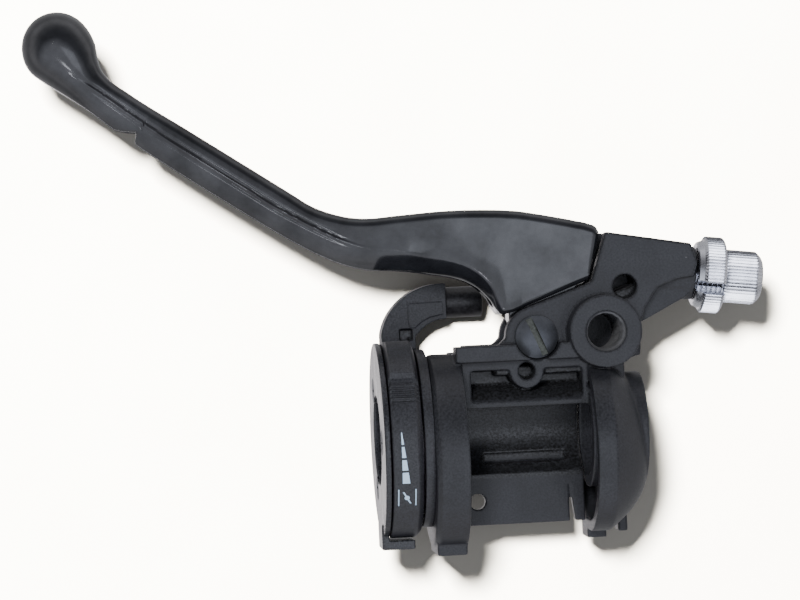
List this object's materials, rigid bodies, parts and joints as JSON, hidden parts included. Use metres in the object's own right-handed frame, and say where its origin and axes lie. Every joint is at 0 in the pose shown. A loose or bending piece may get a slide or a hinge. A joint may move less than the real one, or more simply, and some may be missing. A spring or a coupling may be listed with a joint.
{
  "type": "motorcycle clutch lever perch with thumb choke",
  "caption": "Left handlebar clutch lever and clamp perch with open switch bay, tapped mirror boss, knurled cable adjuster and rotary thumb choke with cable elbow.",
  "frame": {"origin": "on the handlebar's axis, abreast of the lever pivot", "axes": "+X along the bar towards the middle of the vehicle, +Y from the bar towards the lever, +Z along the pivot screw towards its head"},
  "size_m": [0.1827, 0.139, 0.049],
  "materials": {
    "cast_black": "satin black powder coat over a die casting, fine grain",
    "lever_black": "gloss black enamel over a forged lever",
    "choke_plastic": "matt black moulded plastic, fine spark texture",
    "ferrule_plastic": "glossy black plastic",
    "bright_plate": "bright zinc plate over knurled steel",
    "dark_steel": "black oxide fastener steel",
    "spring_steel": "bright spring steel",
    "bronze": "sintered bronze"
  },
  "bodies": {
    "perch": {"perch_housing": "cast_black", "bar_clamp": "cast_black", "clamp_screw_left": "dark_steel", "clamp_screw_right": "dark_steel", "pivot_screw": "dark_steel", "pivot_washer": "dark_steel", "pivot_nut": "dark_steel", "shim_front": "spring_steel", "shim_rear": "spring_steel", "choke_base": "choke_plastic", "choke_end_cap": "choke_plastic", "choke_screw_1": "dark_steel", "choke_screw_2": "dark_steel", "choke_screw_3": "dark_steel", "wave_washer": "spring_steel", "detent_ball": "spring_steel", "detent_spring": "spring_steel", "cable_elbow": "choke_plastic", "elbow_cover": "choke_plastic", "elbow_ferrule": "ferrule_plastic"},
    "lever": {"clutch_lever": "lever_black", "pivot_bush": "bronze"},
    "choke_ring": {"choke_ring": "choke_plastic"},
    "lock_ring": {"adjuster_lock_ring": "bright_plate"},
    "barrel": {"adjuster_barrel": "bright_plate"}
  },
  "joints": [
    {"name": "lever_pivot", "type": "hinge", "parent": "perch", "child": "lever", "pos_m": [0, 0.0241, 0], "axis": [0, 0, 1], "range_deg": [0, 22]},
    {"name": "choke_turn", "type": "hinge", "parent": "perch", "child": "choke_ring", "pos_m": [-0.0345, 0, 0], "axis": [1, 0, 0], "range_deg": [0, 60]},
    {"name": "adjuster_travel", "type": "slide", "parent": "perch", "child": "lock_ring", "axis": [0.9925, -0.1219, 0], "range_m": [0, 0.005]},
    {"name": "adjuster_turn", "type": "hinge", "parent": "lock_ring", "child": "barrel", "pos_m": [0.04537, 0.03751, 0], "axis": [0.9925, -0.1219, 0], "range_deg": [0, 1441]}
  ],
  "couplings": [
    {"joint": "adjuster_turn", "follows": "adjuster_travel", "rad_per_m": 5026.5}
  ]
}
